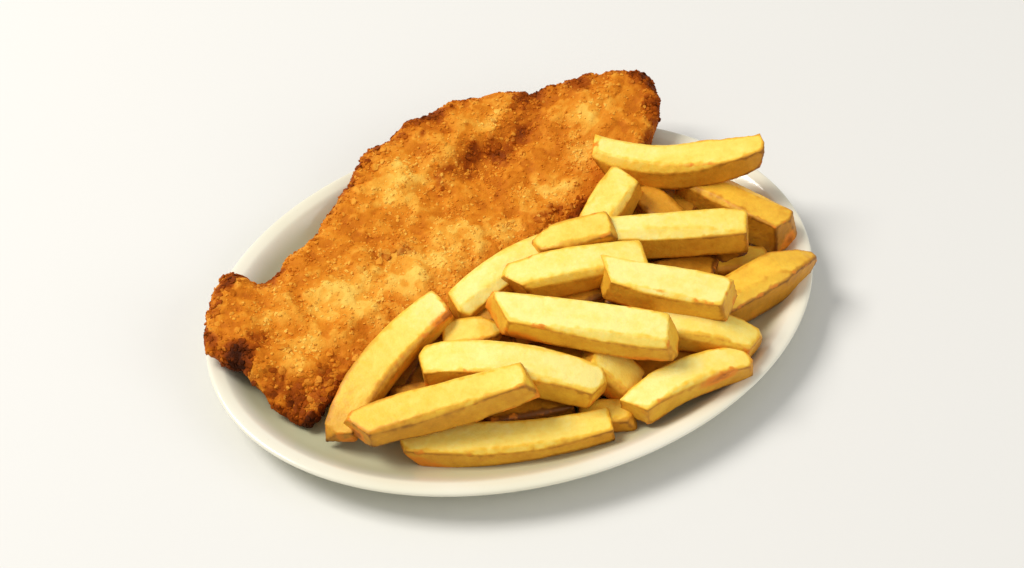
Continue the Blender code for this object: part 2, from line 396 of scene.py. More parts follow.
def makePlate():
    shape = plateShape
    deselectAll()
    bpy.ops.mesh.primitive_circle_add(vertices=shape["segments"], radius=1.0)
    plate = bpy.context.object
    startEdit(plate)
    inset, height = shape["section"][0]
    length, width = shape["halfLength"] - inset, shape["halfWidth"] - inset
    bpy.ops.transform.resize(value=(length * mm, width * mm, 1.0), center_override=(0, 0, 0))
    bpy.ops.transform.translate(value=(0, 0, height * mm))
    bpy.ops.mesh.edge_face_add()
    for inset, after in shape["section"][1:]:
        newLength, newWidth = shape["halfLength"] - inset, shape["halfWidth"] - inset
        bpy.ops.mesh.extrude_edges_move()
        bpy.ops.transform.resize(value=(newLength / length, newWidth / width, 1.0),
                                 center_override=(0, 0, 0))
        bpy.ops.transform.translate(value=(0, 0, (after - height) * mm))
        length, width, height = newLength, newWidth, after
    bpy.ops.mesh.edge_face_add()
    bpy.ops.mesh.select_all(action="SELECT")
    bpy.ops.mesh.normals_make_consistent(inside=False)
    endEdit()
    finishWith(plate, "SUBSURF", levels=shape["subdivisions"],
               render_levels=shape["subdivisions"])
    bpy.ops.object.shade_smooth()
    plate.location = plateMiddle
    own(plate, "glazedPlate")
    plate.data.materials.append(glazeFinish())
    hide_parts("plate")
    print("plate", len(plate.data.polygons))


# Cutlet

cutletShape = {
    "centre": (-10.0, 35.0),
    "heading": 19.0,
    # outline of the far and the near edge: along, across
    "far": [(-126, 24), (-121, 39), (-106, 52), (-92, 57), (-84, 48), (-57, 50), (-20, 63),
            (0, 72), (18, 74), (46, 69), (61, 64), (87, 44), (104, 37), (118, 28), (130, 12)],
    "near": [(-126, -2), (-122, -13), (-116, -28), (-95, -29), (-42, -30), (20, -33),
             (63, -32), (109, -16), (121, -8), (130, 4)],
    "ends": (-127, 131),
    "floor": 6.4,              # height of the well that it lies in
    "voxel": 0.85,
    # pale lobes, partly painted highlight on the swells and the crest of the fold, and dark
    # places, browning at the edges and painted shade in the hollow under that crest: along,
    # across, half length, half width, strength
    "light": [(0, 44, 20, 14, 0.85), (2, 47, 7, 6, 1.0), (58, 47, 15, 5, 0.8),
              (92, 12, 14, 8, 0.75), (48, -4, 13, 9, 0.85), (20, -5, 12, 8, 0.85),
              (-14, 2, 22, 12, 0.8), (58, -3, 10, 7, 0.9), (-62, 9, 26, 17, 1.0),
              (-32, 0, 22, 14, 0.85), (-92, 20, 12, 9, 0.65), (-99, -2, 11, 9, 0.75),
              (78, -4, 12, 9, 0.7), (-9, 34, 11, 13, 0.55), (0, -6, 12, 8, 0.6),
              (-74, 3, 10, 8, 0.6)],
    "dark": [(24, 37, 9, 5, 0.5), (13, 31, 6, 4, 0.4), (37, 35, 10, 6, 0.52),
             (50, 32, 11, 7, 0.62), (62, 28, 12, 6, 0.5), (74, 35, 20, 5, 0.36),
             (87, 42, 26, 8, 0.65), (36, 66, 24, 7, 0.62), (36, 55, 4, 3, 0.4),
             (26, 58, 4, 3, 0.4), (-10, 66, 16, 5, 0.45), (129, 8, 10, 24, 0.7),
             (117, 21, 9, 7, 0.42), (119, -8, 9, 9, 0.6), (106, 31, 12, 8, 0.6),
             (42, -15, 12, 6, 0.42), (53, -23, 9, 5, 0.8), (-22, 14, 5, 7, 0.35),
             (-38, 19, 10, 5, 0.35), (-72, 31, 14, 11, 0.22), (-98, 48, 13, 6, 0.65),
             (-114, 42, 8, 6, 0.45), (-122, 12, 8, 9, 1.0), (-80, 42, 12, 6, 0.6),
             (-125, 26, 6, 8, 0.6), (-110, 13, 9, 9, 0.4), (-119, -8, 7, 9, 0.5),
             (-115, -18, 9, 9, 0.5), (-115, -27, 9, 5, 0.95), (-102, -28, 9, 5, 1.0),
             (-93, -27, 10, 5, 0.7), (-102, -19, 12, 7, 0.35)],
    # pulls on the outline: along, across, half length, half width, shift along, across, up
    "pulls": [(-119, -24, 12, 15, (0, 0, -9.5)), (-118, -26, 10, 10, (-1, -2.5, 0)),
              (-82, 48, 13, 14, (0, -5, -3)), (-50, 54, 22, 12, (0, -3, 0)),
              (-116, 43, 11, 9, (3, -1, 0)), (-127, 24, 9, 8, (-3.5, 0, 0)),
              (-127, 3, 8, 8, (3, 2, 1)), (112, 34, 18, 12, (0, -2, -2))],
    # on top, the crest and hollow of the fold and the swells: along, across, halves, height
    "fold": [(34, 44, 20, 5, 1.5), (54, 39, 14, 5, 1.4), (48, 31, 14, 5, -1.3),
             (66, 27, 14, 5, -0.8), (28, 36, 10, 5, -0.4), (-30, 22, 40, 14, 1.2),
             (-70, -4, 22, 10, 0.8)],
    # uneven surface: texture, grain, height, the level that stays, detail
    "relief": [("CLOUDS", 14, 2.2, 0.5, 2), ("VORONOI", 12, -2.0, 0.4, 0),
               ("CLOUDS", 5, 1.5, 0.5, 2), ("VORONOI", 3.4, -0.55, 0.4, 0)],
    "edgeBand": 9.0,           # width of the browned edge
    "edgeStrength": 0.58,
    # painted shade, darker where the crust faces down
    "undersideShade": 0.3,
    "brownWander": (12, 5),    # grain and reach of the uneven borders
    "lightWander": (14, 7),
    "crestReach": 0.25,        # how far a crumb and a lump stand out
    "lumpReach": 1.2,
    "lumpSteps": 40,
}


def cutletPlace(co):
    # along and across the cutlet in millimetres
    turn = math.radians(cutletShape["heading"])
    x = (co[:, 0] - plateMiddle.x) / mm - cutletShape["centre"][0]
    y = (co[:, 1] - plateMiddle.y) / mm - cutletShape["centre"][1]
    return x * math.cos(turn) + y * math.sin(turn), y * math.cos(turn) - x * math.sin(turn)


def patches(along, across, spots):
    total = np.zeros_like(along)
    for s, t, length, width, strength in spots:
        total = np.maximum(total, strength * bell(along, across, s, t, length, width))
    return total


# browning at the edges and in patches, with painted shade in the hollow of the fold and on the
# underside
def browningAndShade(co, out):
    shape = cutletShape
    along, across = cutletPlace(co)
    grain, reach = shape["brownWander"]
    drift = wander(co, grain) * reach
    far = np.interp(along, *zip(*shape["far"])) - across
    near = across - np.interp(along, *zip(*shape["near"]))
    ends = np.minimum(along - shape["ends"][0], shape["ends"][1] - along)
    inward = np.minimum(np.minimum(far, near), ends) + drift
    edge = np.clip(1 - inward / shape["edgeBand"], 0, 1) * shape["edgeStrength"]
    # painted shade where the crust faces down
    under = np.clip(-out[:, 2], 0, 1) * shape["undersideShade"]
    dark = patches(along + drift, across + drift, shape["dark"])
    return np.clip(np.maximum(edge, dark) + under, 0, 1)


# paler lobes, partly painted highlight on the swells and the crest of the fold
def lightness(co):
    along, across = cutletPlace(co)
    grain, reach = cutletShape["lightWander"]
    drift = wander(co, grain, (5, 1, 2)) * reach
    return np.clip(patches(along + drift, across + drift, cutletShape["light"]), 0, 1)


def pull(item):
    # shift parts of the outline, never below the floor of the plate
    co = corners(item)
    along, across = cutletPlace(co)
    turn = math.radians(cutletShape["heading"])
    for s, t, length, width, (forth, aside, up) in cutletShape["pulls"]:
        share = bell(along, across, s, t, length, width) * mm
        co[:, 0] += share * (forth * math.cos(turn) - aside * math.sin(turn))
        co[:, 1] += share * (forth * math.sin(turn) + aside * math.cos(turn))
        co[:, 2] += share * up
    co[:, 2] = np.maximum(co[:, 2], plateMiddle.z + cutletShape["floor"] * mm)
    setCorners(item, co)


def fold(item):
    # raise the crest and sink the hollow on the upper side
    co, out = corners(item), facings(item)
    along, across = cutletPlace(co)
    rise = np.zeros_like(along)
    for s, t, length, width, height in cutletShape["fold"]:
        rise += height * bell(along, across, s, t, length, width)
    co[:, 2] += rise * np.clip(out[:, 2], 0, 1) * mm
    setCorners(item, co)


def paintCrust(item):
    co, out = corners(item), facings(item)
    paintValues(item, "brown", browningAndShade(co, out))
    paintValues(item, "gold", lightness(co))
    paintValues(item, "crest", standOut(item, cutletShape["crestReach"]))
    paintValues(item, "lump", standOut(item, cutletShape["lumpReach"], cutletShape["lumpSteps"]))


def makeCutlet(crust):
    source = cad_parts["cutlet"]
    cutlet = bpy.data.objects.new("crust", source.data.copy())
    bpy.context.scene.collection.objects.link(cutlet)
    cutlet.data.materials.clear()
    startEdit(cutlet)
    bpy.ops.mesh.remove_doubles(threshold=1e-6)
    bpy.ops.mesh.normals_make_consistent(inside=False)
    endEdit()
    finishWith(cutlet, "SUBSURF", levels=1, render_levels=1)
    pull(cutlet)
    finishWith(cutlet, "REMESH", mode="VOXEL", voxel_size=cutletShape["voxel"] * mm)
    fold(cutlet)
    roughen(cutlet, cutletShape["relief"])
    bpy.ops.object.shade_smooth()
    own(cutlet, "cutletCrust")
    paintCrust(cutlet)
    cutlet.data.materials.append(crust)
    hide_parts("cutlet")
    print("cutlet", len(cutlet.data.polygons))
    return cutlet


crumbShape = {
    "seed": 8,
    "count": 7200,
    "kinds": 7,
    "jag": 0.22,
    "proportions": (1.0, 0.72, 0.5),
    "evenChance": 0.35,        # how evenly they lie, against the browned and shade-painted places and clumps
    "clump": 13,               # from one cluster to the next
    "clumpChance": 0.2,
    "least": 0.9,              # the smallest, and what may be added, more where it is browned and where shade is painted
    "range": 1.7,
    "roastedRange": 1.6,
    "tumble": 0.35,
    "rise": 0.02,              # share of the size that it sits above the crust
    # larger dark flakes: along, across, half length, half width, how many
    "flakes": [(18, 66, 34, 7, 36), (-12, 62, 14, 6, 10), (86, 44, 26, 5, 20),
               (128, 8, 6, 18, 18), (-100, 48, 14, 6, 14), (-116, 38, 8, 8, 10),
               (-116, 8, 12, 14, 26), (-108, -14, 14, 14, 26), (-94, -22, 18, 8, 20),
               (-106, -27, 10, 5, 16), (54, -21, 14, 6, 14), (34, -14, 16, 8, 8),
               (-36, 15, 10, 3, 9), (40, 36, 20, 4, 5), (-70, 50, 16, 4, 8)],
    "flakeSize": (2.6, 5.4),
    "flakeTumble": 0.1,
    "flakeThickness": 0.6,
    "flakeBrown": 0.14,
    # how the crumbs differ in tone
    "brownSpread": 0.06,
    "goldSpread": (-0.15, 0.45),
    "crest": (0.4, 0.95),
    "lump": 0.6,
}


def crumbKinds():
    # a few jagged crumbs, each modelled once
    kinds = []
    for number in range(crumbShape["kinds"]):
        deselectAll()
        bpy.ops.mesh.primitive_ico_sphere_add(subdivisions=1, radius=0.5)
        crumb = bpy.context.object
        startEdit(crumb)
        bpy.ops.transform.vertex_random(offset=crumbShape["jag"], uniform=0.0, normal=0.0,
                                        seed=number)
        bpy.ops.transform.resize(value=crumbShape["proportions"], center_override=(0, 0, 0))
        endEdit()
        faces = np.array([face.vertices[:] for face in crumb.data.polygons])
        kinds.append((corners(crumb), faces))
        bpy.data.objects.remove(crumb)
    return kinds


def chooseGrains(areas, centres, out, roasted, rng):
    # each grain: the face that it sits on, its size, whether it is a flake
    shape = crumbShape
    # most lie on top, and fewer towards the underside
    clumps = np.clip(wander(centres, shape["clump"]) + shape["clumpChance"], 0, 1)
    chance = areas * np.clip(out[:, 2] + 0.5, 0, 1) * (shape["evenChance"] + roasted + clumps)
    grains = []
    for face in rng.choice(len(centres), shape["count"], p=chance / chance.sum()):
        extra = (shape["range"] + shape["roastedRange"] * roasted[face]) * rng.random() ** 3
        grains.append((face, (shape["least"] + extra) * mm, False))
    along, across = cutletPlace(centres)
    for s, t, length, width, count in shape["flakes"]:
        near = areas * (out[:, 2] > -0.2) * bell(along, across, s, t, length, width)
        for face in rng.choice(len(centres), count, p=near / near.sum()):
            grains.append((face, rng.uniform(*shape["flakeSize"]) * mm, True))
    return grains


def layCrumbs(grains, kinds, centres, out, rng):
    # one mesh of them all, each turned to lie on the crust
    shape = crumbShape
    allCorners, allFaces, start = [], [], 0
    for face, size, isFlake in grains:
        co, faces = kinds[rng.integers(len(kinds))]
        tumble = shape["flakeTumble"] if isFlake else shape["tumble"]
        up = Vector(out[face] + rng.normal(0, tumble, 3)).normalized()
        spin = Matrix.Rotation(rng.uniform(0, 6.3), 3, "Z")
        turn = up.to_track_quat("Z", "Y").to_matrix() @ spin
        flat = co * (1, 1, shape["flakeThickness"] if isFlake else 1)
        place = centres[face] + np.array(up) * size * shape["rise"]
        allCorners.append(flat @ np.array(turn).T * size + place)
        allFaces.append(faces + start)
        start += len(co)
    mesh = bpy.data.meshes.new("crumbs")
    mesh.from_pydata(np.concatenate(allCorners), [], np.concatenate(allFaces).tolist())
    crumbs = bpy.data.objects.new("crumbs", mesh)
    bpy.context.scene.collection.objects.link(crumbs)
    return crumbs


def paintCrumbs(crumbs, grains, roasted, each, rng):
    # every crumb in one tone of its own
    shape = crumbShape
    total = len(grains)
    brown = roasted[[face for face, size, isFlake in grains]]
    brown = brown + (rng.normal(0, shape["brownSpread"], total)
                     + [shape["flakeBrown"] if isFlake else 0 for face, size, isFlake in grains])
    paintValues(crumbs, "brown", np.repeat(np.clip(brown, 0, 1), each))
    gold = lightness(corners(crumbs)) + np.repeat(rng.uniform(*shape["goldSpread"], total), each)
    paintValues(crumbs, "gold", np.clip(gold, 0, 1.3))
    # painted light: crumbs stand as crests and lumps, lighter than the crevices
    paintValues(crumbs, "crest", np.repeat(rng.uniform(*shape["crest"], total), each))
    paintValues(crumbs, "lump", np.full(total * each, shape["lump"]))


def makeCrumbs(cutlet, crust):
    rng = np.random.default_rng(crumbShape["seed"])
    faces = cutlet.data.polygons
    areas = readAll(faces, "area", 1).ravel()
    centres, out = readAll(faces, "center"), readAll(faces, "normal")
    roasted = browningAndShade(centres, out)
    grains = chooseGrains(areas, centres, out, roasted, rng)
    kinds = crumbKinds()
    crumbs = layCrumbs(grains, kinds, centres, out, rng)
    own(crumbs, "looseCrumbs")
    paintCrumbs(crumbs, grains, roasted, len(kinds[0][0]), rng)
    crumbs.data.materials.append(crust)
    print("crumbs", len(crumbs.data.polygons))


# Fries

fryShape = {
    "stations": (0.0, 0.1, 0.35, 0.65, 0.9, 1.0),
    "taperRun": 0.35,          # share of the length over which an end narrows
    "taperPower": 0.7,
    "plump": 1.08,             # makes up for what the facets take off
    "spare": 0.1,              # share of the length that the slanted cuts take off
    "pitch": (4.0, 20.0),      # degrees that an end leans back, its top the shorter
    "yaw": (-12.0, 30.0),      # degrees that an end turns, its near side the shorter
    "facet": (0.06, 0.2),      # share of the height that a knife facet takes off an edge
    "facetPart": 0.7,          # part of that depth that goes
    "facetTurn": (25, 65),     # degrees from level
    "facetSkew": 0.07,
    "facetShift": 0.2,         # how far from the middle it is measured, by length
    "tipCut": (1.5, 4.0),      # taken off a top corner at each end
    "tipLean": (0.8, (0.2, 0.6), (0.2, 0.7)),  # the way that cut faces: along, across, up
    "twist": 7.0,              # degrees from end to end
    "relief": [("CLOUDS", 16, 0.9, 0.5, 2), ("CLOUDS", 2.8, 0.35, 0.5, 1)],
    "crestReach": 0.16,
    "mostTriangles": 190000,
}
fryLook = {
    "streak": (22, 5),         # grain of the streaks along and across
    "edge": (0.66, 0.3),       # where an edge and a tip begin, from the middle, and their run
    "tip": (0.9, 0.1),
    "flank": (0.3, 0.5),       # by how much the surface faces up or down
    # browning, evenly and in streaks, and low on the flanks painted shade as well
    "edgeBrown": (0.06, 0.45),
    "tipBrown": (0.16, 0.4),
    "lowBrownAndShade": (0.1, 0.5),
    # painted shade: how much less pale the flanks and the underside are, the flanks partly from
    # deeper frying
    "flankShade": 0.47,
    "underShade": 0.5,
    "streakShade": 0.06,
    "spot": (0.5, 0.6),        # half width and half height of a toasted streak
}
topFries = {
    "name": "fries_top",
    "voxel": 0.85,
    "seed": 3,
    # start, end, width, height, arch, sweep, end scales, paleness at both ends; the paleness also
    # holds painted shade, lower for fries down in the heap, and painted light, higher on some
    # that lie in cast shadow
    "layouts": [
        ((66, 53, 33), (133, 14, 44.5), 17, 14, -5, -6.5, 0.88, 0.62, 0.94, 0.76),
        ((43, 10, 27), (72, 30, 33.5), 16, 16, 0, 0, 0.82, 0.85, 0.86, 0.86),
        ((11, 3, 38), (48, -3, 42), 15, 11, 0, 0, 0.45, 0.80, 0.80, 0.75),
        ((38, 2, 34.5), (106, -23, 33.5), 16, 17, 0, 0, 0.82, 0.85, 1.00, 0.84),
        ((-33, -9, 26), (39, -1, 33), 17, 12, 2, 6.5, 0.86, 0.82, 0.95, 0.90),
        ((-6, -10, 33.5), (54, -22, 35.5), 17, 15, 2, 0, 0.85, 0.90, 0.90, 0.90),
        ((31, -25, 40), (77, -60, 38), 18, 13, -1, 0, 0.82, 0.82, 1.00, 0.95),
        ((-20, -25, 38), (44, -70, 38.5), 19, 13, 0, 0, 0.85, 0.82, 1.00, 0.95),
        ((-43, -18, 23), (-18, -27, 27), 14, 9, 0, 0, 0.80, 0.30, 0.80, 0.75),
        ((-59, -32, 26), (9, -73, 23), 18, 14, 5, 3, 0.82, 0.76, 0.90, 1.00),
        ((-96, -50, 23), (-21, -64, 37), 16, 13, 0, 0, 0.85, 0.82, 0.65, 0.85),
        ((-36, -5, 29), (-103, -45, 15), 17, 11, 4, -4, 0.90, 0.70, 1.00, 0.50),
        ((70, -48, 16.5), (133, -39.5, 22), 17, 18, 0, 0, 1.00, 0.20, 0.66, 0.58),
        ((100, 28, 21), (129, -22.5, 21.5), 16, 18, 0, 0, 0.85, 0.85, 0.62, 0.56),
        ((40, -52, 27), (82, -77, 21), 16, 12, 3, 2, 0.82, 0.82, 0.95, 0.85),
        ((11, -54, 29), (28, -76, 12), 17, 12, 0, 0, 0.82, 0.82, 0.95, 0.60),
        ((-77, -57, 13), (9, -84, 14), 16, 12, -1, -4.5, 0.80, 0.78, 0.88, 0.84),
        ((18, -85, 18), (76, -82.5, 21), 15, 12, 3, 3, 0.80, 0.72, 0.98, 0.85),
        ((-2, -72, 11), (20, -83, 12), 13, 10, 0, 0, 0.82, 0.82, 0.65, 0.75),
        ((76, 30, 22), (91, -16, 17), 15, 12, 0, 0, 0.82, 0.82, 0.40, 0.34),
        ((71, -16, 15.5), (115, -30, 15.5), 14, 12, 0, 0, 0.82, 0.82, 0.46, 0.66),
    ],
    # by row: pitch and yaw of the cut at the start and at the end
    "cuts": {
        0: (-45, 10, -32, 0), 3: (6, 0, 8, 8), 4: (8, -22, 10, 10), 5: (-12, 38, 8, 0),
        6: (8, 26, 14, 10), 7: (8, 34, 24, -6), 9: (4, 12, 6, 22), 10: (2, 34, 14, -6),
        11: (8, 4, 6, 20), 13: (6, 0, 8, 16), 16: (-38, 14, 6, 10), 17: (6, 22, 8, -14),
    },
    # by row: toasted streaks, share of the length, across, up, half length, strength
    "toasted": {
        0: [(0.0, -0.6, 0.0, 0.1, 0.6)], 1: [(0.5, 1.0, 0.2, 0.4, 0.3)],
        7: [(0.16, -1.0, -0.4, 0.16, 0.8), (0.9, -1.0, -0.9, 0.13, 0.8)],
        9: [(0.97, -0.6, -0.7, 0.2, 0.45)], 10: [(0.0, -0.2, 0.0, 0.07, 0.75)],
        11: [(0.12, -0.9, 0.6, 0.17, 0.8), (0.45, -1.0, 0.2, 0.2, 0.5),
             (1.0, -0.3, -0.3, 0.05, 0.75)],
        12: [(0.3, -1.0, -0.3, 0.3, 0.4)], 13: [(1.0, 0.0, -0.2, 0.1, 0.35)],
        14: [(0.76, -1.0, -0.2, 0.2, 0.8)], 15: [(0.6, -1.0, -0.2, 0.35, 0.8)],
        16: [(0.08, -0.8, -0.2, 0.14, 0.7)], 17: [(0.7, -0.9, 0.4, 0.18, 0.8)],
    },
}
underFries = {
    "name": "fries_under",
    "voxel": 1.2,
    "seed": 9,
    # same columns as the top fries; paleness kept low, painted shade for fries deep in the heap
    "layouts": [
        ((9, -22, 25), (44, -21, 26), 16, 12, 0, 0, 0.82, 0.82, 0.30, 0.34),
        ((32, -22, 24), (60, -56, 24), 17, 13, 0, 0, 0.82, 0.82, 0.30, 0.34),
        ((-2, -32, 25), (39, -48, 25), 17, 13, 0, 0, 0.82, 0.82, 0.27, 0.23),
        ((45, 4, 22), (89, -10, 22), 17, 13, 0, 0, 0.82, 0.82, 0.27, 0.23),
        ((55, -23, 22), (90, -28, 18), 16, 12, 0, 0, 0.82, 0.82, 0.20, 0.26),
        ((22, 0, 22), (57, -12, 22), 16, 12, 0, 0, 0.82, 0.82, 0.30, 0.34),
        ((-31, -15, 20), (-4, -16, 24), 15, 12, 0, 0, 0.82, 0.82, 0.30, 0.34),
        ((-76, -38, 16), (-43, -49, 16), 16, 12, 0, 0, 0.82, 0.82, 0.27, 0.23),
        ((-43, -57, 12), (-1, -64, 12), 16, 11, 0, 0, 0.82, 0.82, 0.20, 0.26),
        ((-50, -15, 16), (-13, -34, 16), 16, 12, 0, 0, 0.82, 0.82, 0.28, 0.24),
        ((-15, -40, 19), (18, -62, 21), 16, 12, 0, 0, 0.82, 0.82, 0.20, 0.26),
        ((21, -64, 15), (63, -66, 15), 16, 12, 0, 0, 0.82, 0.82, 0.20, 0.26),
        ((69, 27, 15), (82, 8, 15), 16, 12, 0, 0, 0.82, 0.82, 0.20, 0.26),
        ((-26, -42, 15), (6, -57, 15), 16, 12, 0, 0, 0.82, 0.82, 0.20, 0.26),
        ((38, -51, 14), (81, -56, 14), 16, 12, 0, 0, 0.82, 0.82, 0.20, 0.26),
        ((92, 6, 18), (100, -29, 16), 16, 12, 0, 0, 0.82, 0.82, 0.27, 0.23),
        ((-8, -2, 18), (23, 1, 20), 16, 12, 0, 0, 0.82, 0.82, 0.27, 0.23),
        ((-60, -44, 15), (-18, -47, 15), 15, 12, 0, 0, 0.82, 0.82, 0.20, 0.26),
        ((4, -39, 14), (45, -47, 14), 16, 12, 0, 0, 0.82, 0.82, 0.20, 0.26),
        ((81, 36, 13), (99, 10, 14), 15, 12, 0, 0, 0.82, 0.82, 0.27, 0.23),
        ((-46, -22, 13), (-78, -50, 12), 15, 10, 0, 0, 0.82, 0.82, 0.24, 0.20),
        ((-80, -33, 11.5), (-49, -17, 12.5), 15, 10, 0, 0, 0.82, 0.82, 0.24, 0.20),
    ],
    "cuts": {},
    "toasted": {},
}


def fryScale(share, endScale):
    share = min(share / fryShape["taperRun"], 1) ** fryShape["taperPower"]
    return endScale + (1 - endScale) * share


def cutWith(place, direction):
    # one knife cut through all of it, keeping the side behind the direction
    bpy.ops.mesh.select_all(action="SELECT")
    bpy.ops.mesh.bisect(plane_co=place, plane_no=direction, use_fill=True, clear_outer=True)


def blockOut(length, width, height, scales):
    # a long block that narrows to its ends, left in edit mode
    spare = fryShape["spare"] * length
    deselectAll()
    bpy.ops.mesh.primitive_plane_add(size=1.0, rotation=(0, math.pi / 2, 0))
    fry = bpy.context.object
    bpy.ops.object.transform_apply(rotation=True)
    startEdit(fry)
    scale = fryScale(0, scales[0])
    at = -length / 2 - spare
    bpy.ops.transform.resize(value=(1, width * scale, height * scale))
    bpy.ops.transform.translate(value=(at, 0, 0))
    for share in fryShape["stations"]:
        newScale = fryScale(share, scales[0]) * fryScale(1 - share, scales[1])
        newAt = (share - 0.5) * length
        bpy.ops.mesh.extrude_region_move(TRANSFORM_OT_translate={"value": (newAt - at, 0, 0)})
        bpy.ops.transform.resize(value=(1, newScale / scale, newScale / scale),
                                 center_override=(0, 0, 0))
        scale, at = newScale, newAt
    bpy.ops.mesh.extrude_region_move(TRANSFORM_OT_translate={"value": (spare, 0, 0)})
    bpy.ops.mesh.select_all(action="SELECT")
    bpy.ops.mesh.normals_make_consistent(inside=False)
    return fry


def trim(length, width, height, cuts, nearSide, rng):
    # the slanted ends, a facet along each long edge, then a top corner off each end
    turns = [rng.uniform(*fryShape[name]) for name in ("pitch", "yaw", "pitch", "yaw")]
    turns = [math.radians(turn) for turn in cuts or turns]
    for side, pitch, yaw in ((-1, *turns[:2]), (1, *turns[2:])):
        cutWith((side * length / 2, 0, 0), (side * math.cos(pitch) * math.cos(yaw),
                                            -math.sin(yaw) * nearSide, math.sin(pitch)))
    skew, shift = fryShape["facetSkew"], fryShape["facetShift"]
    for y, z in ((1, 1), (-1, 1), (1, -1), (-1, -1)):
        angle = math.radians(rng.uniform(*fryShape["facetTurn"]))
        out = Vector((rng.uniform(-skew, skew), y * math.cos(angle), z * math.sin(angle)))
        depth = rng.uniform(*fryShape["facet"]) * height
        edge = Vector((rng.uniform(-shift, shift) * length, y * width / 2, z * height / 2))
        cutWith(edge - out.normalized() * depth * fryShape["facetPart"], out)
    along, across, up = fryShape["tipLean"]
    for side in (-1, 1):
        out = Vector((side * along, rng.choice((-1, 1)) * rng.uniform(*across),
                      rng.uniform(*up)))
        edge = Vector((side * length / 2, math.copysign(width / 2, out.y), height / 2))
        cutWith(edge - out.normalized() * rng.uniform(*fryShape["tipCut"]) * mm, out)


def bow(fry, length, bend):
    # bend it sideways and upwards in one, to stand off by that much in the middle
    turn = Matrix.Rotation(-math.atan2(bend.z, bend.y), 4, "X")
    fry.data.transform(turn)
    finishWith(fry, "SIMPLE_DEFORM", deform_method="BEND", deform_axis="Z",
               angle=-8 * bend.length / length)  # the angle of an arc of that height
    fry.data.transform(turn.inverted())


def lay(fry, start, end, bend):
    # put it on the heap between two points
    forward = (end - start).normalized()
    side = Vector((0, 0, 1)).cross(forward).normalized()
    up = forward.cross(side)
    middle = (start + end) / 2 + side * bend.y + up * bend.z
    fry.matrix_world = Matrix((
        (forward.x, side.x, up.x, middle.x), (forward.y, side.y, up.y, middle.y),
        (forward.z, side.z, up.z, middle.z), (0, 0, 0, 1)))
    pick(fry)
    bpy.ops.object.transform_apply(location=True, rotation=True, scale=True)


def makeFry(shape, number, rng):
    layout = shape["layouts"][number]
    start, end, width, height, arch, sweep, startScale, endScale, paleStart, paleEnd = layout
    start, end = plateMiddle + Vector(start) * mm, plateMiddle + Vector(end) * mm
    length = (end - start).length
    width, height = (size * fryShape["plump"] * mm for size in (width, height))
    nearSide = math.copysign(1, (end - start).x)
    fry = blockOut(length, width, height, (startScale, endScale))
    trim(length, width, height, shape["cuts"].get(number), nearSide, rng)
    endEdit()
    finishWith(fry, "REMESH", mode="VOXEL", voxel_size=shape["voxel"] * mm)
    finishWith(fry, "SMOOTH", factor=0.5, iterations=1)
    finishWith(fry, "SIMPLE_DEFORM", deform_method="TWIST", deform_axis="X",
               angle=math.radians(rng.uniform(-1, 1) * fryShape["twist"]))
    shift = Vector((rng.uniform(0, 50), 0, 0))
    paintFry(fry, (length, width, height), (paleStart, paleEnd),
             shape["toasted"].get(number, []), nearSide, shift)
    bend = Vector((0, sweep * mm, arch * mm))
    if bend.length > 0:
        bow(fry, length, bend)
    lay(fry, start, end, bend)
    return fry


def paintFry(fry, size, paleness, toasted, nearSide, shift):
    # paleness and browning, before the bend: paler on top, golden on the flanks and ends, with
    # painted shade on the flanks, the underside and low on the flanks
    look = fryLook
    co, out = corners(fry), facings(fry)
    share = co[:, 0] / size[0] + 0.5
    across, up = co[:, 1] / (size[1] / 2), co[:, 2] / (size[2] / 2)
    long, thin = (grain * mm for grain in look["streak"])
    streak = np.array([noise.noise(Vector((p[0] / long, p[1] / thin, p[2] / thin)) + shift)
                       for p in co])
    edge = fade(np.minimum(np.abs(across), np.abs(up)), *look["edge"])
    tip = fade(np.abs(share - 0.5) * 2, *look["tip"])
    under = np.clip(-out[:, 2], 0, 1)
    flank = 1 - fade(np.abs(out[:, 2]), *look["flank"])
    low = np.clip(-up, 0, 1) * flank
    even, streaky = look["edgeBrown"]
    brown = edge * (even + streaky * np.clip(streak + 0.05, 0, 1))
    even, streaky = look["tipBrown"]
    brown += tip * (even + streaky * streak)
    # browning and painted shade low on the flanks
    even, streaky = look["lowBrownAndShade"]
    brown += low * (even + streaky * np.clip(streak, 0, 1))
    for place, side, height, reach, strength in toasted:
        spot = bell(share, across * nearSide, place, side, reach, look["spot"][0])
        spot *= np.exp(-((up - height) / look["spot"][1]) ** 2)
        brown += strength * spot * (0.8 + streak)
    pale = paleness[0] + (paleness[1] - paleness[0]) * share
    # painted shade on the flanks and the underside
    pale *= 1 - look["flankShade"] * flank - look["underShade"] * under
    pale += look["streakShade"] * streak
    paintValues(fry, "pale", np.clip(pale, 0, 1))
    paintValues(fry, "brown", np.clip(brown, 0, 1))


def joinAll(items):
    deselectAll()
    for item in items:
        item.select_set(True)
    bpy.context.view_layer.objects.active = items[0]
    bpy.ops.object.join()
    return items[0]


def makeFries(shape, potato):
    rng = random.Random(shape["seed"])
    fries = joinAll([makeFry(shape, number, rng) for number in range(len(shape["layouts"]))])
    triangles = 2 * len(fries.data.polygons)
    roughen(fries, fryShape["relief"])
    if triangles > fryShape["mostTriangles"]:
        finishWith(fries, "DECIMATE", ratio=fryShape["mostTriangles"] / triangles)
    bpy.ops.object.shade_smooth()
    own(fries, shape["name"])
    paintValues(fries, "crest", standOut(fries, fryShape["crestReach"], spread=3))
    fries.data.materials.append(potato)
    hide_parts("fries")
    print(shape["name"], len(fries.data.polygons))


# Core of the heap

coreShape = {
    "centre": (18, -34, 13),
    "half": (70, 34, 8),
    "turn": -14.0,
    "floor": 6.6,              # height of the well that it lies in
    "relief": [("CLOUDS", 12, 3, 0.5, 2)],
    # browner and less pale than the fries on top: painted shade in the gaps of the heap
    "paint": {"pale": 0.25, "brown": 0.3, "crest": 0.5},
}


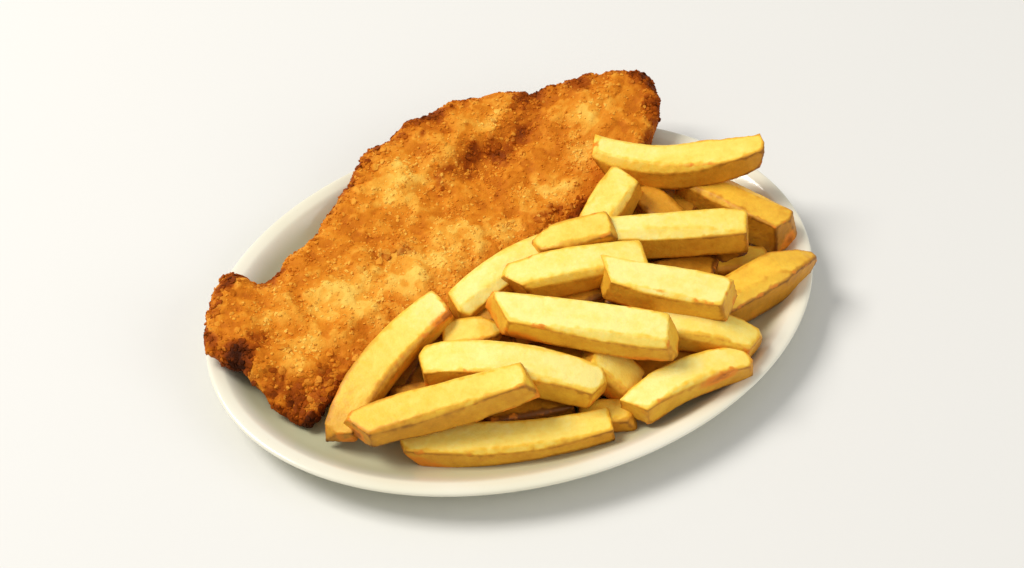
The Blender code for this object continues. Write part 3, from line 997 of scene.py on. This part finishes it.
def makeCore(potato):
    deselectAll()
    bpy.ops.mesh.primitive_uv_sphere_add(segments=64, ring_count=32, radius=1.0)
    core = bpy.context.object
    startEdit(core)
    bpy.ops.transform.resize(value=[half * mm for half in coreShape["half"]])
    endEdit()
    core.rotation_euler.z = math.radians(coreShape["turn"])
    core.location = plateMiddle + Vector(coreShape["centre"]) * mm
    own(core, "heapCore")
    roughen(core, coreShape["relief"])
    co = corners(core)
    co[:, 2] = np.maximum(co[:, 2], plateMiddle.z + coreShape["floor"] * mm)
    setCorners(core, co)
    bpy.ops.object.shade_smooth()
    for name, value in coreShape["paint"].items():
        paintValues(core, name, np.full(len(co), value))
    core.data.materials.append(potato)
    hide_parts("fries")
    print("core", len(core.data.polygons))


# Floor, light and camera

studio = {
    "target": (7.14, 19.13, 0.0),  # what the camera looks at, from the middle of the plate
    "azimuth": -23.91,
    "elevation": 48.0,
    "distance": 931.8,
    "lens": 70.0,
    # floor and lights, in metres
    "floorSize": 6.0,
    "floorShades": ("#E6E5E1", "#E9E8E4"),
    "floorGap": 0.0002,        # below the foot of the plate
    "worldStrength": 0.42,
    "keyPlace": (-1.3, 1.0, 2.05),
    "keyEnergy": 58.0,
    "keySize": 1.1,
    "keyColour": (1.0, 0.97, 0.92),
    "fillPlace": (1.4, -1.6, 1.4),
    "fillEnergy": 14.0,
    "fillSize": 1.6,
    "fillColour": (1.0, 0.99, 0.97),
}


def makeFloor():
    deselectAll()
    bpy.ops.mesh.primitive_plane_add(size=studio["floorSize"],
                                     location=(0, 0, plateLow.z - studio["floorGap"]))
    floor = bpy.context.object
    floor.name = "floor"
    finish = Finish("floorPaint", Roughness=0.8)
    one, two = studio["floorShades"]
    finish.paint("Base Color", finish.blend(finish.grain(0.4, 2.0), tint(one), tint(two)))
    floor.data.materials.append(finish.material)
    print("floor")


def addLight(name):
    # a soft square light that faces the plate
    place = studio[name + "Place"]
    lamp = bpy.data.lights.new(name, "AREA")
    lamp.size = studio[name + "Size"]
    lamp.energy = studio[name + "Energy"]
    lamp.color = studio[name + "Colour"]
    item = bpy.data.objects.new(name, lamp)
    item.location = place
    item.rotation_mode = "QUATERNION"
    item.rotation_quaternion = (Vector(place) - plateMiddle).to_track_quat("Z", "Y")
    bpy.context.scene.collection.objects.link(item)


def lightUp():
    world = bpy.data.worlds.new("room")
    bpy.context.scene.world = world
    world.use_nodes = True
    backdrop = world.node_tree.nodes["Background"]
    backdrop.inputs["Color"].default_value = (1.0, 1.0, 1.0, 1.0)
    backdrop.inputs["Strength"].default_value = studio["worldStrength"]
    addLight("key")
    addLight("fill")
    bpy.context.scene.view_settings.view_transform = "Standard"
    print("lights")


def placeCamera():
    azimuth, elevation = math.radians(studio["azimuth"]), math.radians(studio["elevation"])
    back = Vector((math.sin(azimuth) * math.cos(elevation),
                   -math.cos(azimuth) * math.cos(elevation), math.sin(elevation)))
    lens = bpy.data.cameras.new("camera")
    lens.lens = studio["lens"]
    lens.sensor_width = 36.0
    camera = bpy.data.objects.new("camera", lens)
    camera.location = plateMiddle + Vector(studio["target"]) * mm + back * studio["distance"] * mm
    camera.rotation_mode = "QUATERNION"
    camera.rotation_quaternion = back.to_track_quat("Z", "Y")
    bpy.context.scene.collection.objects.link(camera)
    bpy.context.scene.camera = camera
    print("camera")


placeCamera()
lightUp()
makeFloor()
makePlate()
crust = crustFinish()
potato = potatoFinish()
cutlet = makeCutlet(crust)
makeCrumbs(cutlet, crust)
makeFries(topFries, potato)
makeFries(underFries, potato)
makeCore(potato)
